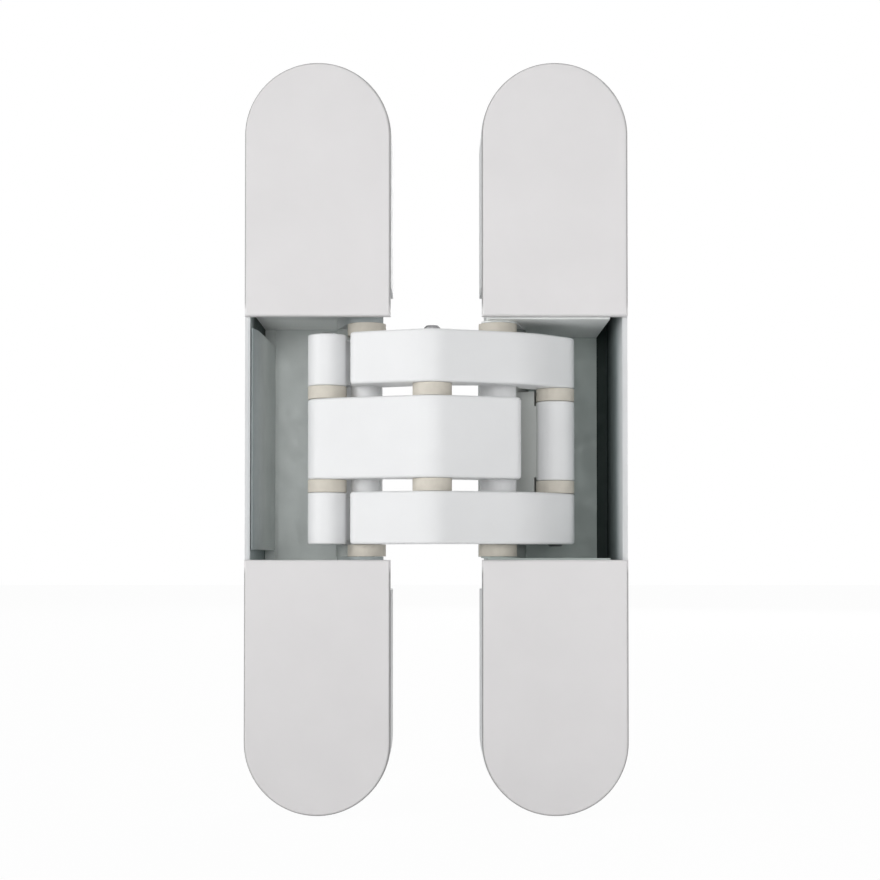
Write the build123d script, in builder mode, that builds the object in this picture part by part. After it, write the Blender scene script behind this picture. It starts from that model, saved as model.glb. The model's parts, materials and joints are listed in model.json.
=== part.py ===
from build123d import *
import os
from math import cos, radians, sin, tan

# A concealed door hinge, lying open at 180 degrees: two housings let into the edges of a frame and
# a door, and a folding linkage of two cranked arms, two short links and seven upright pins.
# X runs from the frame side to the door side, Y into the housings and Z up. The origin is the middle
# of the frame housing's face. Sizes are in millimetres.

# Housings
housing_height = 150.0
housing_width = 29.2
housing_gap = 18.0
housing_depth = 35.0
housing_wall = 1.0
housing_back = 2.0
end_depth = 17.0
end_floor = 4.0
middle_wall = 2.0
middle_corner = 4.0
middle_set_back = 1.2
pocket_corner = 1.5
window_inset = 2.8
window_lip = 2.3
outer_edge_round = 0.8

# Covers
cover_thickness = 2.0
cover_inset = 0.1
cover_edge_round = 0.5
cover_set_off = 0.65
clip_width = 8.0
clip_thickness = 1.2
clip_length = 6.0

# Carriages, the blocks inside the housings that carry the pins and can be adjusted
carriage_front = 2.2
carriage_plate = 1.6
carriage_fit = 0.15
carriage_travel = 0.5
block_height = 8.9
frame_pad_height = 2.0
door_pad_height = 0.3
pad_wall = 0.9
side_plate_tip = 0.3
side_plate_middle = 1.0
side_plate_root = 2.1
side_plate_slant = 4.0
side_plate_front = 3.0
side_plate_drop = 3.4
corner_groove = 0.7
door_slot = 0.7
lug_width = 13.0
lug_length = 13.0
lug_front = 6.5
lug_thickness = 4.0

# Linkage in plan: sideways from the centre pin, which stands a little to the frame side of the middle
# of the fold, and behind the face
linkage_shift = 0.8
front_pin_x = 13.3
front_pin_y = 8.0
centre_pin_y = -1.0
frame_link_x = 21.2
frame_link_y = 6.0
door_link_x = 25.2
door_link_y = 11.5
frame_deep_x = 17.16
frame_deep_y = 16.87
door_deep_x = 16.72
door_deep_y = 17.4

# Pockets that the deep pins wander in while the linkage folds: from the pin to the pocket's middle
frame_wander_x = 1.24
frame_wander_y = -0.11
frame_wander = 1.4
door_wander_x = 1.51
door_wander_y = -0.18
door_wander = 1.7

# Arms and links
knuckle_radius = 3.9
deep_radius = 3.4
link_web = 5.0
link_web_drop = 0.8
outer_barrel_radius = 3.2
inner_barrel_radius = 3.75
outer_arm_end = 16.3
inner_arm_end = 17.7
boss_radius = 5.0
facet_angle = 20.0
inner_leg_angle = 24.0
outer_leg_angle = 44.0
fold_round = 8.0
elbow_round = 20.0
end_round = 1.5
arm_edge_round = 0.6
link_edge_round = 0.4
arm_clearance = 0.4
inner_arm_height = 16.2
outer_arm_height = 10.4

# Pins and washers
pin_radius = 1.6
pin_stand_out = 0.4
pin_head = 1.0
pin_recess = 0.3
pin_chamfer = 0.4
pin_seat_depth = 6.0
pin_end_play = 0.5
press_clearance = 0.02
running_clearance = 0.05
stack_clearance = 0.05
washer_thickness = 2.5
end_washer_thickness = 2.4
washer_bore_clearance = 0.06
deep_washer_radius = 2.8

# Screws under the covers
clamp_radius = 2.5
clamp_head_radius = 4.2
clamp_head = 3.0
clamp_travel = 3.0
cam_radius = 4.0
cam_gap = 0.5
cam_thickness = 3.0
cam_throw = 0.7
screw_boss_radius = 4.6
screw_length = 5.0
hex_radius = 1.7
hex_depth = 1.6
wood_screw_from_end = 7.0
wood_screw_spacing = 9.5
wood_screw_radius = 2.6
wood_screw_head_radius = 4.4

# Places worked out from the sizes above
housing_pitch = housing_width + housing_gap
fold_x = housing_pitch / 2
fold_plane = Plane.YZ.offset(fold_x)
linkage_x = fold_x - linkage_shift
pad_inner = housing_gap / 2 + linkage_shift + carriage_fit
carriage_inner = pad_inner + middle_set_back
carriage_width = housing_width - housing_wall - middle_set_back - 2 * (linkage_shift + carriage_fit)
end_floor_depth = end_depth - end_floor
lug_back = lug_front + lug_thickness
plate_back = housing_depth - housing_back - carriage_fit
plate_front = plate_back - carriage_plate
apex_y = centre_pin_y - boss_radius
inner_arm_top = inner_arm_height / 2
outer_arm_bottom = inner_arm_top + washer_thickness + 2 * stack_clearance
outer_arm_top = outer_arm_bottom + outer_arm_height
pad_level = outer_arm_top + end_washer_thickness + 2 * stack_clearance
block_top = pad_level + block_height
pocket_height = 2 * (block_top + carriage_travel)
middle_height = pocket_height + 2 * middle_wall
window_height = 2 * (block_top - window_lip)
cavity_height = 2 * (pad_level + cover_set_off)
clamp_height = block_top + lug_length / 2
cam_height = block_top + lug_length + cam_gap + cam_radius
clip_height = (cavity_height + housing_height) / 4
wood_screw_outer = housing_height / 2 - wood_screw_from_end
wood_screw_heights = (wood_screw_outer - wood_screw_spacing, wood_screw_outer)
front_pin = (front_pin_x, front_pin_y)
centre_pin = (0.0, centre_pin_y)
frame_link_pin = (frame_link_x, frame_link_y)
door_link_pin = (door_link_x, door_link_y)
frame_deep_pin = (frame_deep_x, frame_deep_y)
door_deep_pin = (door_deep_x, door_deep_y)
pin_bore = pin_radius + running_clearance
pin_seat = pin_radius + press_clearance
both_ends = (1, -1)
end_names = {1: "upper", -1: "lower"}


def behind_face(depth):
    """The plane of the frame housing's face, moved back into the housing."""
    return Plane.XZ.offset(-depth)


def plan(height, middle=linkage_x):
    """A level plane whose middle is the linkage's centre pin, unless another middle is given."""
    return Plane(origin=(middle, 0, height))


def frame_side(point):
    """A place in the linkage on the frame side of the centre pin."""
    return (-point[0], point[1])


def to_door_side(part):
    """The mirror image of a frame-side part, on the door side of the fold."""
    with BuildPart() as mirrored:
        mirror(part, about=fold_plane)
    return mirrored.part


def save(part, name):
    """Label a finished piece and write it to its own file."""
    part.label = name
    export_step(part, f"parts/{name}.step")


def make_housing():
    """A tray with round ends and a deep middle that is open towards the fold."""
    front = behind_face(cover_thickness)
    with BuildPart() as housing:
        with BuildSketch(front):
            SlotOverall(housing_height, housing_width, rotation=90)
        extrude(amount=-(end_depth - cover_thickness))
        with BuildSketch(front):
            with Locations((-middle_set_back / 2, 0)):
                RectangleRounded(housing_width - middle_set_back, middle_height, middle_corner)
        extrude(amount=-(housing_depth - cover_thickness))
        fillet(housing.faces().sort_by(Axis.Y)[-1].edges(), outer_edge_round)
        with BuildSketch(front):
            SlotOverall(housing_height - 2 * housing_wall, housing_width - 2 * housing_wall, rotation=90)
        extrude(amount=-(end_floor_depth - cover_thickness), mode=Mode.SUBTRACT)
        with BuildSketch(front):
            RectangleRounded(housing_width - 2 * housing_wall, pocket_height, pocket_corner)
        extrude(amount=-(housing_depth - housing_back - cover_thickness), mode=Mode.SUBTRACT)
        with BuildSketch(front):
            with Locations((housing_width / 2, 0)):
                Rectangle(2 * window_inset, window_height)
        extrude(amount=-housing_depth, mode=Mode.SUBTRACT)
        screw_places = [(0, end * z) for end in both_ends for z in (clamp_height, cam_height)]
        with BuildSketch(behind_face(end_floor_depth)):
            with Locations(*screw_places):
                Circle(screw_boss_radius)
        extrude(amount=end_floor_depth - lug_back)
        with Locations(behind_face(lug_back)):
            with Locations(*screw_places):
                Hole(clamp_radius + press_clearance, depth=screw_length + press_clearance)
        with Locations(behind_face(end_floor_depth)):
            with Locations(*[(0, end * z) for end in both_ends for z in wood_screw_heights]):
                CounterSinkHole(wood_screw_radius, wood_screw_head_radius, depth=end_depth)
    return housing.part


def make_cover(end):
    """A flat cover over one end of the housing, with two clips along the side walls."""
    length = housing_height - 2 * cover_inset
    width = housing_width - 2 * cover_inset
    clip_x = housing_width / 2 - housing_wall - stack_clearance - clip_thickness / 2
    with BuildPart() as cover:
        with BuildSketch(behind_face(0)):
            SlotOverall(length, width, rotation=90)
            with Locations((0, -end * housing_height / 2 + end * cavity_height / 2)):
                Rectangle(housing_width, housing_height, mode=Mode.SUBTRACT)
        extrude(amount=-cover_thickness)
        fillet(cover.faces().sort_by(Axis.Y)[0].edges(), cover_edge_round)
        with BuildSketch(behind_face(cover_thickness)):
            with Locations((clip_x, end * clip_height), (-clip_x, end * clip_height)):
                Rectangle(clip_thickness, clip_width)
        extrude(amount=-clip_length)
    return cover.part


def make_carriage(deep_pin, wander, pocket_radius, pad_height, shift, is_frame):
    """The U-shaped block in the deep middle, with a pad round the pins at its top and bottom. The shift
    is how far its pins stand out from their place halfway to the other housing. The frame's has a plate
    along the outer side, with a groove in the corner behind it. The door's leaves a slot there, and has a
    lip along the inner edge of its back."""
    pins_x = fold_x - shift
    pocket = (-deep_pin[0] + wander[0], deep_pin[1] + wander[1])
    inner_x = pins_x - carriage_inner
    width = carriage_width if is_frame else carriage_width - door_slot
    middle = (inner_x - width / 2, 0)
    ceiling = pad_level + pad_height
    slot_width = 2 * (clamp_radius + arm_clearance)
    with BuildPart() as carriage:
        with BuildSketch(behind_face(carriage_front)):
            with Locations(middle):
                RectangleRounded(width, 2 * block_top, pocket_corner)
        extrude(amount=-(plate_back - carriage_front))
        with BuildSketch(behind_face(carriage_front)):
            with Locations(middle):
                Rectangle(width, 2 * ceiling)
        extrude(amount=-(plate_front - carriage_front), mode=Mode.SUBTRACT)
        if is_frame:
            outer_x = inner_x - width
            with BuildSketch(plan(side_plate_drop - ceiling, outer_x)):
                with BuildLine():
                    Polyline(
                        (0, side_plate_front),
                        (side_plate_tip, side_plate_front),
                        (side_plate_middle, side_plate_front + side_plate_slant),
                        (side_plate_root, plate_front),
                        (0, plate_front),
                        close=True,
                    )
                make_face()
            extrude(amount=2 * (ceiling - side_plate_drop))
            with BuildSketch(behind_face(plate_front)):
                with Locations((outer_x + side_plate_root + corner_groove / 2, 0)):
                    Rectangle(corner_groove, 2 * ceiling)
            extrude(amount=-carriage_plate / 2, mode=Mode.SUBTRACT)
        else:
            with BuildSketch(behind_face(plate_front)):
                with Locations((inner_x, 0)):
                    Rectangle(2 * middle_set_back, 2 * pad_level)
            extrude(amount=-carriage_plate)
        for end in both_ends:
            with BuildSketch(plan(end * ceiling, pins_x)):
                with Locations(frame_side(front_pin)):
                    Circle(knuckle_radius)
                with Locations(pocket):
                    Circle(pocket_radius + pad_wall)
                make_hull()
                with Locations((knuckle_radius - pad_inner, front_pin_y)):
                    Rectangle(2 * knuckle_radius, 4 * knuckle_radius, mode=Mode.SUBTRACT)
            extrude(amount=-end * pad_height)
            with Locations(plan(end * pad_level, pins_x)):
                with Locations(frame_side(front_pin)):
                    Cylinder(pin_seat, 2 * pin_seat_depth, mode=Mode.SUBTRACT)
                with Locations(pocket):
                    Cylinder(pocket_radius, 2 * pin_seat_depth, mode=Mode.SUBTRACT)
            with BuildSketch(behind_face(lug_front)):
                with Locations((0, end * (block_top + lug_length / 2))):
                    Rectangle(lug_width, lug_length)
                with Locations((0, end * clamp_height)):
                    SlotCenterToCenter(clamp_travel, slot_width, rotation=90, mode=Mode.SUBTRACT)
            extrude(amount=-lug_thickness)
    return carriage.part


def make_screw(height, head_radius, head_length, offset):
    """A socket screw in one of the housing's bosses, with its head off centre by the offset."""
    head_plane = behind_face(lug_front if offset == 0 else lug_back)
    with BuildPart() as screw:
        with BuildSketch(head_plane):
            with Locations((offset, height)):
                Circle(head_radius)
        extrude(amount=head_length)
        chamfer(screw.faces().sort_by(Axis.Y)[0].edges(), pin_chamfer)
        with BuildSketch(head_plane.offset(head_length)):
            with Locations((0, height)):
                RegularPolygon(hex_radius, 6)
        extrude(amount=-hex_depth, mode=Mode.SUBTRACT)
        with BuildSketch(head_plane):
            with Locations((0, height)):
                Circle(clamp_radius)
        extrude(amount=-(lug_back + screw_length - (lug_front if offset == 0 else lug_back)))
    return screw.part


def arm_outline(hand, far_pin, leg_angle, own_end, own_barrel, other_barrel, bottom):
    """The plan of a cranked arm: a flat-faced hook at its own front pin, a rounded fold over the centre
    pin and a leg that passes in front of the other arm's barrel to the far pin."""
    slope = tan(radians(facet_angle))
    along = (cos(radians(leg_angle)), sin(radians(leg_angle)))
    outward = (along[1] * knuckle_radius, -along[0] * knuckle_radius)
    relief = other_barrel + arm_clearance
    leg_front = (far_pin[0] + outward[0], far_pin[1] + outward[1])
    leg_back = (far_pin[0] - outward[0], far_pin[1] - outward[1])
    to_elbow = (leg_front[1] - apex_y - slope * leg_front[0]) / (along[1] - slope * along[0])
    to_relief = (leg_back[0] - front_pin_x) * along[0] + (leg_back[1] - front_pin_y) * along[1]
    front = [
        (-own_end, front_pin_y),
        (-own_end, apex_y + slope * own_end),
        (0, apex_y),
        (leg_front[0] - to_elbow * along[0], leg_front[1] - to_elbow * along[1]),
        leg_front,
    ]
    back = [
        leg_front,
        leg_back,
        (leg_back[0] - to_relief * along[0], leg_back[1] - to_relief * along[1]),
        (front_pin_x, front_pin_y - relief),
        (0, centre_pin_y + boss_radius),
        (-front_pin_x + own_barrel, front_pin_y),
        (-own_end, front_pin_y),
    ]
    with BuildSketch(plan(bottom)) as outline:
        with BuildLine():
            FilletPolyline(*[(hand * x, y) for x, y in front], radius=[end_round, fold_round, elbow_round])
            Polyline(*[(hand * x, y) for x, y in back])
        make_face()
        with Locations((-hand * front_pin_x, front_pin_y)):
            Circle(own_barrel)
        with Locations((hand * far_pin[0], far_pin[1])):
            Circle(knuckle_radius)
        with Locations((hand * front_pin_x, front_pin_y)):
            Circle(relief, mode=Mode.SUBTRACT)
    return outline.sketch


def bore(place, radius):
    """A hole for an upright pin, through everything that stands there."""
    with Locations(plan(0)):
        with Locations(place):
            Cylinder(radius, 2 * housing_height, mode=Mode.SUBTRACT)


def make_outer_arm():
    """Two cranked arms, above and below the inner arm, joined by a barrel on the frame's front pin."""
    shape = (door_link_pin, outer_leg_angle, outer_arm_end, outer_barrel_radius, inner_barrel_radius)
    with BuildPart() as arm:
        for bottom in (outer_arm_bottom, -outer_arm_top):
            extrude(arm_outline(1, *shape, bottom), amount=outer_arm_height)
        fillet(arm.faces().filter_by(Axis.Z).edges(), arm_edge_round)
        with BuildSketch(plan(-outer_arm_bottom)):
            with Locations(frame_side(front_pin)):
                Circle(outer_barrel_radius)
        extrude(amount=2 * outer_arm_bottom)
        bore(frame_side(front_pin), pin_bore)
        bore(centre_pin, pin_seat)
        bore(door_link_pin, pin_seat)
    return arm.part


def make_inner_arm():
    """One cranked arm in the middle, with a full-height barrel on the door's front pin."""
    shape = (frame_link_pin, inner_leg_angle, inner_arm_end, inner_barrel_radius, outer_barrel_radius)
    with BuildPart() as arm:
        extrude(arm_outline(-1, *shape, -inner_arm_top), amount=inner_arm_height)
        fillet(arm.faces().filter_by(Axis.Z).edges(), arm_edge_round)
        with BuildSketch(plan(-outer_arm_top)):
            with Locations(front_pin):
                Circle(inner_barrel_radius)
        extrude(amount=2 * outer_arm_top)
        bore(front_pin, pin_bore)
        bore(centre_pin, pin_bore)
        bore(frame_side(frame_link_pin), pin_bore)
    return arm.part


def make_link(near, deep, bottoms, height, web_half, near_bore):
    """A short link from an arm's far pin to the deep pin, whose barrel is as tall as the linkage. A web
    taller than the knuckle, if there is one, keeps clear of the washers beside it."""
    with BuildPart() as link:
        for bottom in bottoms:
            with BuildSketch(plan(bottom)):
                with Locations(near):
                    Circle(knuckle_radius)
            extrude(amount=height)
        fillet(link.faces().filter_by(Axis.Z).edges(), link_edge_round)
        for bottom in bottoms:
            with BuildSketch(plan(bottom + link_web_drop)):
                with Locations(near, deep):
                    Circle(link_web / 2)
                make_hull()
            extrude(amount=height - 2 * link_web_drop)
        if web_half:
            with BuildSketch(plan(-web_half)):
                with Locations(near, deep):
                    Circle(link_web / 2)
                make_hull()
                with Locations(near):
                    Circle(knuckle_radius + arm_clearance, mode=Mode.SUBTRACT)
            extrude(amount=2 * web_half)
        with BuildSketch(plan(-outer_arm_top)):
            with Locations(deep):
                Circle(deep_radius)
        extrude(amount=2 * outer_arm_top)
        bore(near, near_bore)
        bore(deep, pin_seat)
    return link.part


def make_pin(place, bottom, top):
    """An upright pin with chamfered ends."""
    with BuildPart() as pin:
        with BuildSketch(plan(bottom)):
            with Locations(place):
                Circle(pin_radius)
        extrude(amount=top - bottom)
        chamfer(pin.edges().filter_by(GeomType.CIRCLE), pin_chamfer)
    return pin.part


def make_washer(place, bottom, thickness, radius):
    """A plain bearing washer round a pin."""
    with BuildPart() as washer:
        with BuildSketch(plan(bottom)):
            with Locations(place):
                Circle(radius)
                Circle(pin_radius + washer_bore_clearance, mode=Mode.SUBTRACT)
        extrude(amount=thickness)
    return washer.part


os.makedirs("parts", exist_ok=True)

# Housings, covers and the screws beneath the covers
frame_housing = make_housing()
save(frame_housing, "frame_housing")
save(to_door_side(frame_housing), "door_housing")
for end in both_ends:
    pieces = {
        "cover": make_cover(end),
        "clamp_screw": make_screw(end * clamp_height, clamp_head_radius, clamp_head, 0),
        "cam_screw": make_screw(end * cam_height, cam_radius, cam_thickness, cam_throw),
    }
    for piece, part in pieces.items():
        save(part, f"frame_{piece}_{end_names[end]}")
        save(to_door_side(part), f"door_{piece}_{end_names[end]}")

# Carriages
frame_pocket = ((frame_wander_x, frame_wander_y), pin_radius + frame_wander)
door_pocket = ((door_wander_x, door_wander_y), pin_radius + door_wander)
frame_carriage = make_carriage(frame_deep_pin, *frame_pocket, frame_pad_height, linkage_shift, True)
door_carriage = make_carriage(door_deep_pin, *door_pocket, door_pad_height, -linkage_shift, False)
save(frame_carriage, "frame_carriage")
save(to_door_side(door_carriage), "door_carriage")

# Arms and links
save(make_outer_arm(), "outer_arm")
save(make_inner_arm(), "inner_arm")
outer_rows = (outer_arm_bottom, -outer_arm_top)
frame_link = make_link(
    frame_side(frame_link_pin), frame_side(frame_deep_pin), outer_rows, outer_arm_height, 0, pin_seat
)
door_web = outer_arm_bottom - arm_clearance
door_link = make_link(door_link_pin, door_deep_pin, (-inner_arm_top,), inner_arm_height, door_web, pin_bore)
save(frame_link, "frame_link")
save(door_link, "door_link")

# Pins
seated_length = pad_level + pin_seat_depth - stack_clearance
loose_length = pad_level + pin_seat_depth - pin_end_play
riveted_length = outer_arm_top + pin_stand_out
recessed_length = outer_arm_top - pin_recess
pins = {
    "frame_front_pin": (frame_side(front_pin), -seated_length, seated_length),
    "door_front_pin": (front_pin, -seated_length, seated_length),
    "centre_pin": (centre_pin, -recessed_length, outer_arm_top + pin_head),
    "frame_link_pin": (frame_side(frame_link_pin), -recessed_length, riveted_length),
    "door_link_pin": (door_link_pin, -riveted_length, recessed_length),
    "frame_deep_pin": (frame_side(frame_deep_pin), -loose_length, loose_length),
    "door_deep_pin": (door_deep_pin, -loose_length, loose_length),
}
for name, (place, bottom, top) in pins.items():
    save(make_pin(place, bottom, top), name)

# Washers between the arms and links, and at the ends of the stack
between = (inner_arm_top + stack_clearance, washer_thickness, knuckle_radius)
above = (outer_arm_top + stack_clearance, end_washer_thickness, knuckle_radius)
deep = (outer_arm_top + stack_clearance, end_washer_thickness, deep_washer_radius)
washers = {
    "frame_front_washer": (frame_side(front_pin), *above),
    "door_front_washer": (front_pin, *above),
    "centre_washer": (centre_pin, *between),
    "frame_link_washer": (frame_side(frame_link_pin), *between),
    "door_link_washer": (door_link_pin, *between),
    "frame_deep_washer": (frame_side(frame_deep_pin), *deep),
    "door_deep_washer": (door_deep_pin, *deep),
}
for name, (place, bottom, thickness, radius) in washers.items():
    save(make_washer(place, bottom, thickness, radius), f"{name}_upper")
    save(make_washer(place, -bottom - thickness, thickness, radius), f"{name}_lower")
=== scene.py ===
import json
import math

import bpy
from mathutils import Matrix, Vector


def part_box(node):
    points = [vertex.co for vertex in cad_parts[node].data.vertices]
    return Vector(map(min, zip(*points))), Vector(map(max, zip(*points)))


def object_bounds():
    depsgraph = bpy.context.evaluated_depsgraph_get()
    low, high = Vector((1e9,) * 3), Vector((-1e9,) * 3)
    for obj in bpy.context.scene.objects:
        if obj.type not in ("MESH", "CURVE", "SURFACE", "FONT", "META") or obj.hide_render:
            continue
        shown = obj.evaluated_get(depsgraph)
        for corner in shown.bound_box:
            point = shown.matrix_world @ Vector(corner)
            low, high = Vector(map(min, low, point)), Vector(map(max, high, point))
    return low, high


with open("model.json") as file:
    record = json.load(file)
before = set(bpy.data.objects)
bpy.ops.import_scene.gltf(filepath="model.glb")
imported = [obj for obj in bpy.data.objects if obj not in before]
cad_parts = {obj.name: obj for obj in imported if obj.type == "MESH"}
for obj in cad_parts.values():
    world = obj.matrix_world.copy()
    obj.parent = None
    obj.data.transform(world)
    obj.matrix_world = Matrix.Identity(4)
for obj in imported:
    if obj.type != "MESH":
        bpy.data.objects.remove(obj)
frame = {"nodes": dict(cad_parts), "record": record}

CAD_BOX = [list(corner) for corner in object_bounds()]
NODES = frame["nodes"]
MM = 0.001


# Helpers that add nodes to a material

NOISE_LOW = 0.3
NOISE_HIGH = 0.7


def new_material(name):
    """An empty node material with its shader and the object's own coordinates."""
    material = bpy.data.materials.new(name)
    material.use_nodes = True
    tree = material.node_tree
    shader = tree.nodes["Principled BSDF"]
    coords = tree.nodes.new("ShaderNodeTexCoord")
    return material, tree, shader, coords.outputs["Object"]


def calculated(tree, operation, *values):
    """The result of a math node on one or two linked values."""
    node = tree.nodes.new("ShaderNodeMath")
    node.operation = operation
    for value, socket in zip(values, node.inputs):
        tree.links.new(value, socket)
    return node.outputs[0]


def component(tree, vector, axis):
    """One component of a vector."""
    split = tree.nodes.new("ShaderNodeSeparateXYZ")
    tree.links.new(vector, split.inputs[0])
    return split.outputs[axis]


def climb(tree, value, start, end, low=0.0, high=1.0):
    """A value that goes from low to high as another one goes from start to end."""
    span = tree.nodes.new("ShaderNodeMapRange")
    span.inputs["From Min"].default_value = start
    span.inputs["From Max"].default_value = end
    span.inputs["To Min"].default_value = low
    span.inputs["To Max"].default_value = high
    tree.links.new(value, span.inputs["Value"])
    return span.outputs["Result"]


def along(tree, coords, axis, start, end, mirrored=False):
    """A mask that climbs from 0 to 1 along an axis of the object, between two places in millimetres."""
    value = component(tree, coords, axis)
    if mirrored:
        value = calculated(tree, "ABSOLUTE", value)
    return climb(tree, value, start * MM, end * MM)


def turned(tree, normal, start, end):
    """A mask that climbs from 0 to 1 as the surface turns away from the hinge's face."""
    facing = calculated(tree, "ABSOLUTE", component(tree, normal, "Y"))
    return climb(tree, facing, start, end)


def both(tree, one, other):
    """The product of two masks."""
    return calculated(tree, "MULTIPLY", one, other)


def add_noise(tree, coords, scale, detail, stretch=None):
    """A noise value over the object's coordinates, in grains per metre."""
    noise = tree.nodes.new("ShaderNodeTexNoise")
    noise.inputs["Scale"].default_value = scale
    noise.inputs["Detail"].default_value = detail
    if stretch is not None:
        mapping = tree.nodes.new("ShaderNodeMapping")
        mapping.inputs["Scale"].default_value = stretch
        tree.links.new(coords, mapping.inputs["Vector"])
        coords = mapping.outputs["Vector"]
    tree.links.new(coords, noise.inputs["Vector"])
    return noise.outputs["Fac"]


def vary_colour(tree, shader, fac, colour, spread):
    """Lets the base colour drift a little darker and lighter."""
    ramp = tree.nodes.new("ShaderNodeValToRGB")
    ramp.color_ramp.elements[0].position = NOISE_LOW
    ramp.color_ramp.elements[1].position = NOISE_HIGH
    for element, gain in zip(ramp.color_ramp.elements, (1 - spread, 1 + spread)):
        element.color = (*[min(1.0, c * gain) for c in colour], 1)
    tree.links.new(fac, ramp.inputs["Fac"])
    tree.links.new(ramp.outputs["Color"], shader.inputs["Base Color"])


def vary_roughness(tree, shader, fac, middle, spread):
    """Lets the roughness drift round its middle value."""
    roughness = climb(tree, fac, NOISE_LOW, NOISE_HIGH, middle - spread, middle + spread)
    tree.links.new(roughness, shader.inputs["Roughness"])


def add_bump(tree, shader, fac, height, strength):
    """Raises the surface by a height in millimetres where the value is high."""
    bump = tree.nodes.new("ShaderNodeBump")
    bump.inputs["Strength"].default_value = strength
    bump.inputs["Distance"].default_value = height * MM
    tree.links.new(fac, bump.inputs["Height"])
    tree.links.new(bump.outputs["Normal"], shader.inputs["Normal"])


def tint(tree, shader, mask, colour):
    """Turns the base colour to another one where the mask is high."""
    base = shader.inputs["Base Color"]
    mix = tree.nodes.new("ShaderNodeMix")
    mix.data_type = "RGBA"
    mix.inputs["B"].default_value = (*colour, 1)
    tree.links.new(mask, mix.inputs["Factor"])
    tree.links.new(base.links[0].from_socket, mix.inputs["A"])
    tree.links.new(mix.outputs["Result"], base)


# Colours

COVER_COLOUR = (0.75, 0.735, 0.737)
# Painted shade for the dark rim round the covers
COVER_RIM_SHADE_COLOUR = (0.27, 0.265, 0.265)
ARM_COLOUR = (0.83, 0.835, 0.84)
HOUSING_COLOUR = (0.72, 0.73, 0.735)
# Painted shade and painted shadow inside the housings' pockets
POCKET_SHADE_COLOUR = (0.40, 0.455, 0.46)
POCKET_SHADOW_COLOUR = (0.016, 0.030, 0.027)
FRAME_CASTING_COLOUR = (0.73, 0.765, 0.75)
# Painted light: paler upper block of the frame's carriage
FRAME_BLOCK_LIT_COLOUR = (0.93, 0.94, 0.93)
# Painted shade on the frame carriage, darker towards the front
SIDE_PLATE_SHADE_COLOUR = (0.335, 0.375, 0.38)
# The same casting as the frame's, painted darker as painted shade
DOOR_CASTING_SHADE_COLOUR = (0.42, 0.47, 0.452)
# Painted light: paler upper block of the door's carriage
DOOR_BLOCK_LIT_COLOUR = (0.84, 0.86, 0.85)
# Painted shade on the door link's web
WEB_SHADE_COLOUR = (0.60, 0.62, 0.60)
WASHER_COLOUR = (0.655, 0.615, 0.54)
# Painted shade: the deep washers take the grey of the shaded pocket behind them
FRAME_DEEP_WASHER_SHADE_COLOUR = (0.60, 0.63, 0.61)
DOOR_DEEP_WASHER_SHADE_COLOUR = (0.36, 0.39, 0.38)
PIN_COLOUR = (0.24, 0.24, 0.245)
SCREW_COLOUR = (0.48, 0.48, 0.49)


# How squarely a cover's surface faces the front where its painted rim shade starts and ends, with 1 for
# straight on

COVER_RIM_TURN = (0.98, 0.6)


# Places where a finish changes, and how far a mask takes to fade, in millimetres

COVER_RIM_HEIGHT = (25.5, 27)
POCKET_WALL_INSET = 0.5
POCKET_MOUTH_INSET = 3.6
POCKET_BACK_INSET = 0.8
POCKET_HALF_HEIGHT = 31
POCKET_FRONT = 1
SHADOW_FADE = 4
MASK_EDGE = 0.2
BLOCK_BOTTOM = (22.6, 23.4)
BLOCK_BACK = (31.2, 30.8)
SIDE_PLATE_FRONT = (17, 3.5)
WEB_END = (44.6, 44.0)


# Materials

def lacquer(name, colour, roughness, gloss=0.45):
    """Satin lacquer on cast metal: an even film with a fine orange-peel grain."""
    material, tree, shader, coords = new_material(name)
    shader.inputs["Specular IOR Level"].default_value = gloss
    vary_colour(tree, shader, add_noise(tree, coords, scale=60, detail=3), colour, spread=0.02)
    vary_roughness(tree, shader, add_noise(tree, coords, scale=400, detail=4), roughness, spread=0.06)
    add_bump(tree, shader, add_noise(tree, coords, scale=1800, detail=3), height=0.02, strength=0.25)
    return material, tree, shader, coords


def cover_finish():
    """Lacquer with painted shade round the cover's rim, where the surface turns away from the face."""
    material, tree, shader, coords = lacquer("cover_lacquer", COVER_COLOUR, roughness=0.5)
    away = turned(tree, coords.node.outputs["Normal"], *COVER_RIM_TURN)
    rim = both(tree, away, along(tree, coords, "Z", *COVER_RIM_HEIGHT, mirrored=True))
    # Painted shade: the rim turns dark grey where the cover's surface turns away from the face.
    tint(tree, shader, rim, COVER_RIM_SHADE_COLOUR)
    return material


def arm_finish():
    """Lacquer all over."""
    return lacquer("arm_lacquer", ARM_COLOUR, roughness=0.46)[0]


def door_link_finish():
    """Lacquered knuckle, with painted shade on the web behind it."""
    material, tree, shader, coords = lacquer("door_link_lacquer", ARM_COLOUR, roughness=0.46)
    # Painted shade: the web behind the knuckle is darker.
    tint(tree, shader, along(tree, coords, "X", *WEB_END), WEB_SHADE_COLOUR)
    return material


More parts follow.
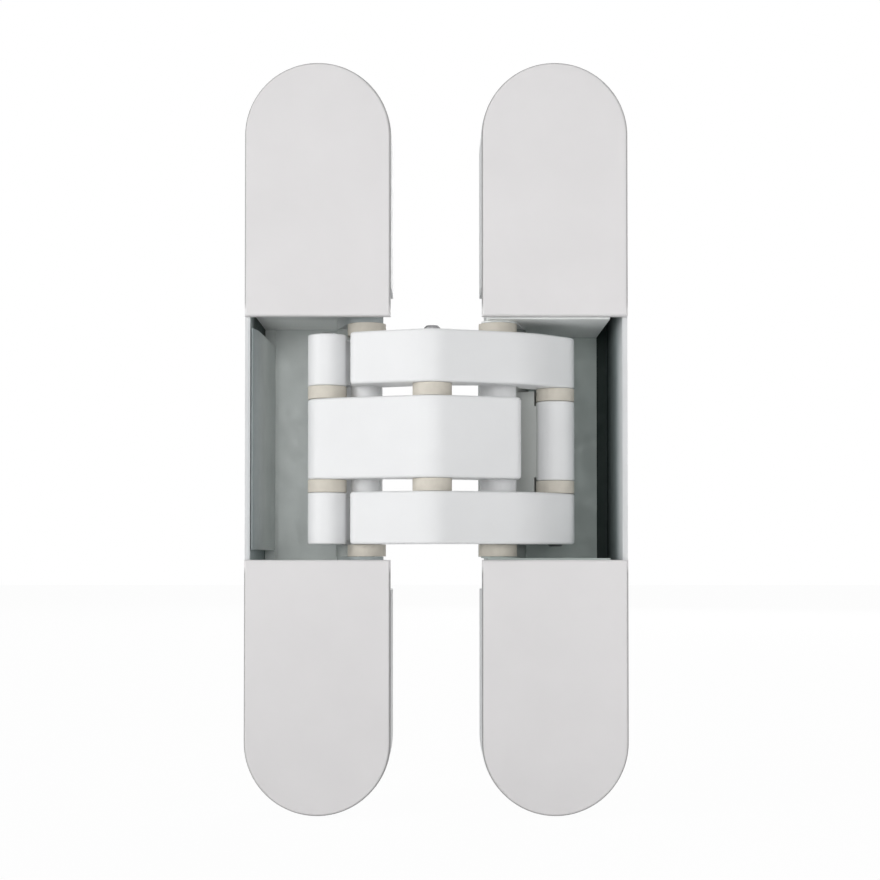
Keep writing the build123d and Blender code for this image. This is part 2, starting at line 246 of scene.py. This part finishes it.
def housing_finish(side, shade_to, shadow_from, shadow_to, shadow_above):
    """Lacquer with painted shade that darkens it into the housing's deep pocket, and painted shadow, near
    black, towards its back.
    """
    material, tree, shader, coords = lacquer(
        f"{side}_housing_lacquer", HOUSING_COLOUR, roughness=0.5, gloss=0.2
    )
    low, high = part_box(f"{side}_housing")
    insets = (POCKET_WALL_INSET, POCKET_MOUTH_INSET)
    left_inset, right_inset = insets if side == "frame" else reversed(insets)
    left = low.x / MM + left_inset
    right = high.x / MM - right_inset
    back = high.y / MM - POCKET_BACK_INSET
    from_left = along(tree, coords, "X", left, left + MASK_EDGE)
    from_right = along(tree, coords, "X", right, right - MASK_EDGE)
    from_back = along(tree, coords, "Y", back, back - 2 * MASK_EDGE)
    from_ends = along(tree, coords, "Z", POCKET_HALF_HEIGHT, POCKET_HALF_HEIGHT - MASK_EDGE, mirrored=True)
    pocket = both(tree, both(tree, from_left, from_right), both(tree, from_back, from_ends))
    # Painted shade: the pocket turns grey from its front inwards.
    inward_shade = along(tree, coords, "Y", POCKET_FRONT, shade_to)
    tint(tree, shader, both(tree, pocket, inward_shade), POCKET_SHADE_COLOUR)
    # Painted shadow: further in, and above a given height, the pocket turns near black.
    deep = along(tree, coords, "Y", shadow_from, shadow_to)
    above = along(tree, coords, "Z", shadow_above, shadow_above + SHADOW_FADE)
    tint(tree, shader, both(tree, pocket, both(tree, deep, above)), POCKET_SHADOW_COLOUR)
    return material


def casting(name, colour, lit_block_colour):
    """Die casting with cloudy staining, and painted light that makes the upper block paler, for the
    pocket's ceiling lit from below.
    """
    material, tree, shader, coords = new_material(name)
    shader.inputs["Metallic"].default_value = 0.1
    vary_colour(tree, shader, add_noise(tree, coords, scale=120, detail=5), colour, spread=0.07)
    # Painted light: the upper block, whose underside is the pocket's ceiling, is paler.
    block = both(tree, along(tree, coords, "Z", *BLOCK_BOTTOM), along(tree, coords, "Y", *BLOCK_BACK))
    tint(tree, shader, block, lit_block_colour)
    vary_roughness(tree, shader, add_noise(tree, coords, scale=500, detail=4), 0.55, spread=0.1)
    add_bump(tree, shader, add_noise(tree, coords, scale=900, detail=5), height=0.04, strength=0.3)
    return material, tree, shader, coords


def frame_carriage_finish():
    """Casting with painted shade that darkens it towards the front, over the side plate's narrow front
    edge.
    """
    material, tree, shader, coords = casting(
        "frame_carriage_casting", FRAME_CASTING_COLOUR, FRAME_BLOCK_LIT_COLOUR
    )
    # Painted shade: darker towards the front.
    tint(tree, shader, along(tree, coords, "Y", *SIDE_PLATE_FRONT), SIDE_PLATE_SHADE_COLOUR)
    return material


def door_carriage_finish():
    """Casting, painted darker than the frame's as painted shade for the door's pocket."""
    return casting("door_carriage_casting", DOOR_CASTING_SHADE_COLOUR, DOOR_BLOCK_LIT_COLOUR)[0]


def bearing_plastic(name, colour):
    """Turned bearing plastic: matt, with faint rings from the tool."""
    material, tree, shader, coords = new_material(name)
    shader.inputs["Specular IOR Level"].default_value = 0.3
    rings = add_noise(tree, coords, scale=300, detail=3, stretch=(1, 1, 14))
    vary_colour(tree, shader, add_noise(tree, coords, scale=500, detail=4), colour, spread=0.05)
    vary_roughness(tree, shader, add_noise(tree, coords, scale=900, detail=2), 0.575, spread=0.075)
    add_bump(tree, shader, rings, height=0.03, strength=0.35)
    return material


def ground_steel(name, colour, roughness):
    """Ground steel, with fine rings round the upright pins."""
    material, tree, shader, coords = new_material(name)
    shader.inputs["Metallic"].default_value = 1.0
    rings = add_noise(tree, coords, scale=250, detail=2, stretch=(1, 1, 20))
    vary_colour(tree, shader, add_noise(tree, coords, scale=400, detail=4), colour, spread=0.08)
    vary_roughness(tree, shader, add_noise(tree, coords, scale=700, detail=3), roughness, spread=0.08)
    add_bump(tree, shader, rings, height=0.01, strength=0.3)
    return material


# Finishes by the record's material slot, and by node where one differs

SLOT_OF = {part["node"]: part["material_slot"] for part in frame["record"]["subparts"]}
SLOT_FINISH = {
    "cover": cover_finish(),
    "arm": arm_finish(),
    "washer": bearing_plastic("washer_plastic", WASHER_COLOUR),
    "pin": ground_steel("pin_steel", PIN_COLOUR, roughness=0.5),
    "screw": ground_steel("screw_steel", SCREW_COLOUR, roughness=0.3),
}
NODE_FINISH = {
    "frame_housing": housing_finish("frame", shade_to=5, shadow_from=3, shadow_to=10, shadow_above=0),
    "door_housing": housing_finish("door", shade_to=14, shadow_from=13, shadow_to=33, shadow_above=-40),
    "frame_carriage": frame_carriage_finish(),
    "door_carriage": door_carriage_finish(),
    "door_link": door_link_finish(),
}
# Painted shade: the deep washers are grey like the shaded pocket round them, not the washers' beige.
DEEP_WASHER_SHADE_FINISH = {
    "frame": bearing_plastic("frame_deep_washer_shade_plastic", FRAME_DEEP_WASHER_SHADE_COLOUR),
    "door": bearing_plastic("door_deep_washer_shade_plastic", DOOR_DEEP_WASHER_SHADE_COLOUR),
}
for side, finish in DEEP_WASHER_SHADE_FINISH.items():
    for end in ("upper", "lower"):
        NODE_FINISH[f"{side}_deep_washer_{end}"] = finish

for node, obj in NODES.items():
    obj.data.materials.clear()
    obj.data.materials.append(NODE_FINISH.get(node) or SLOT_FINISH[SLOT_OF[node]])


# Floor and white surroundings

FLOOR_SIZE = 6.0
FLOOR_GAP = 0.2 * MM
FLOOR_GLOW = 0.97
AMBIENT = 0.165
LOW, HIGH = CAD_BOX
MIDDLE_X = (LOW[0] + HIGH[0]) / 2


def seen_directly(tree):
    """1 for rays from the camera, for reflections and for rays through glass, and 0 for all other light."""
    path = tree.nodes.new("ShaderNodeLightPath")
    seen = path.outputs["Is Camera Ray"]
    for name in ("Is Glossy Ray", "Is Transmission Ray"):
        seen = calculated(tree, "MAXIMUM", seen, path.outputs[name])
    return seen


def shown_as(tree, mask, inner, shown, output):
    """Gives the shown shader where the mask is high, and the inner one elsewhere."""
    mix = tree.nodes.new("ShaderNodeMixShader")
    tree.links.new(mask, mix.inputs["Fac"])
    tree.links.new(inner, mix.inputs[1])
    tree.links.new(shown, mix.inputs[2])
    tree.links.new(mix.outputs[0], output)


def floor_finish():
    """White to the camera but for a faint shadow, and a plain pale floor to all other light."""
    material, tree, shader, _ = new_material("floor_white")
    shader.inputs["Base Color"].default_value = (0.9, 0.9, 0.9, 1)
    shader.inputs["Roughness"].default_value = 0.9
    glow = tree.nodes.new("ShaderNodeEmission")
    glow.inputs["Color"].default_value = (1, 1, 1, 1)
    share = climb(tree, seen_directly(tree), 0, 1, high=FLOOR_GLOW)
    surface = tree.nodes["Material Output"].inputs["Surface"]
    shown_as(tree, share, shader.outputs[0], glow.outputs[0], surface)
    return material


bpy.ops.mesh.primitive_plane_add(size=FLOOR_SIZE, location=(MIDDLE_X, 0, LOW[2] - FLOOR_GAP))
floor = bpy.context.object
floor.name = "floor"
floor.data.materials.append(floor_finish())

world = bpy.data.worlds.new("studio")
bpy.context.scene.world = world
world.use_nodes = True
sky = world.node_tree
ambient = sky.nodes["Background"]
ambient.inputs["Color"].default_value = (0.97, 0.985, 1.0, 1)
ambient.inputs["Strength"].default_value = AMBIENT
white = sky.nodes.new("ShaderNodeBackground")
white.inputs["Color"].default_value = (1, 1, 1, 1)
white.inputs["Strength"].default_value = 1.0
sky_surface = sky.nodes["World Output"].inputs["Surface"]
shown_as(sky, seen_directly(sky), ambient.outputs[0], white.outputs[0], sky_surface)


# Lamps, placed in metres from the middle of the object

def soft_box(name, place, size, power, aim=(0, 0, 0)):
    """A rectangular soft box that points at a place."""
    lamp = bpy.data.lights.new(name, "AREA")
    lamp.shape = "RECTANGLE"
    lamp.size, lamp.size_y = size
    lamp.energy = power
    box = bpy.data.objects.new(name, lamp)
    bpy.context.scene.collection.objects.link(box)
    box.location = Vector(place) + Vector((MIDDLE_X, 0, 0))
    box.rotation_euler = (Vector(aim) - Vector(place)).to_track_quat("-Z", "Y").to_euler()


soft_box("key", place=(-1.1, -0.62, 0.28), size=(0.5, 0.8), power=7.35)
soft_box("fill", place=(-0.1, -1.3, 0.12), size=(0.9, 0.35), power=4.15)
soft_box("side", place=(1.0, -0.75, 0.2), size=(0.6, 0.6), power=1.95)
soft_box("top", place=(0, -0.03, 1.0), size=(1.2, 0.25), power=1.4, aim=(0, -0.03, 0))
soft_box("bounce", place=(0, -0.17, -0.072), size=(0.5, 0.14), power=0.155, aim=(0, -0.17, 1))
soft_box("back", place=(0.4, 1.2, 0.5), size=(1.0, 0.8), power=7.0)


# Camera, a little below the middle and pitched up slightly

DISTANCE = 340 * MM
DROP = 24 * MM
PITCH = math.radians(1.2)
LEVEL = math.radians(90)
PIXELS = 880
FOCAL_PIXELS = 1715.6
AXIS_PIXEL_X = 436.25
AXIS_PIXEL_Y = 522.7
camera_data = bpy.data.cameras.new("camera")
camera_data.sensor_width = 36
camera_data.lens = camera_data.sensor_width * FOCAL_PIXELS / PIXELS
camera_data.shift_x = (PIXELS / 2 - AXIS_PIXEL_X) / PIXELS
camera_data.shift_y = (AXIS_PIXEL_Y - PIXELS / 2) / PIXELS
camera_data.clip_start = 0.01
camera = bpy.data.objects.new("camera", camera_data)
bpy.context.scene.collection.objects.link(camera)
camera.location = (MIDDLE_X, -DISTANCE, -DROP)
camera.rotation_euler = (LEVEL + PITCH, 0, 0)
bpy.context.scene.camera = camera
bpy.context.scene.view_settings.view_transform = "Standard"
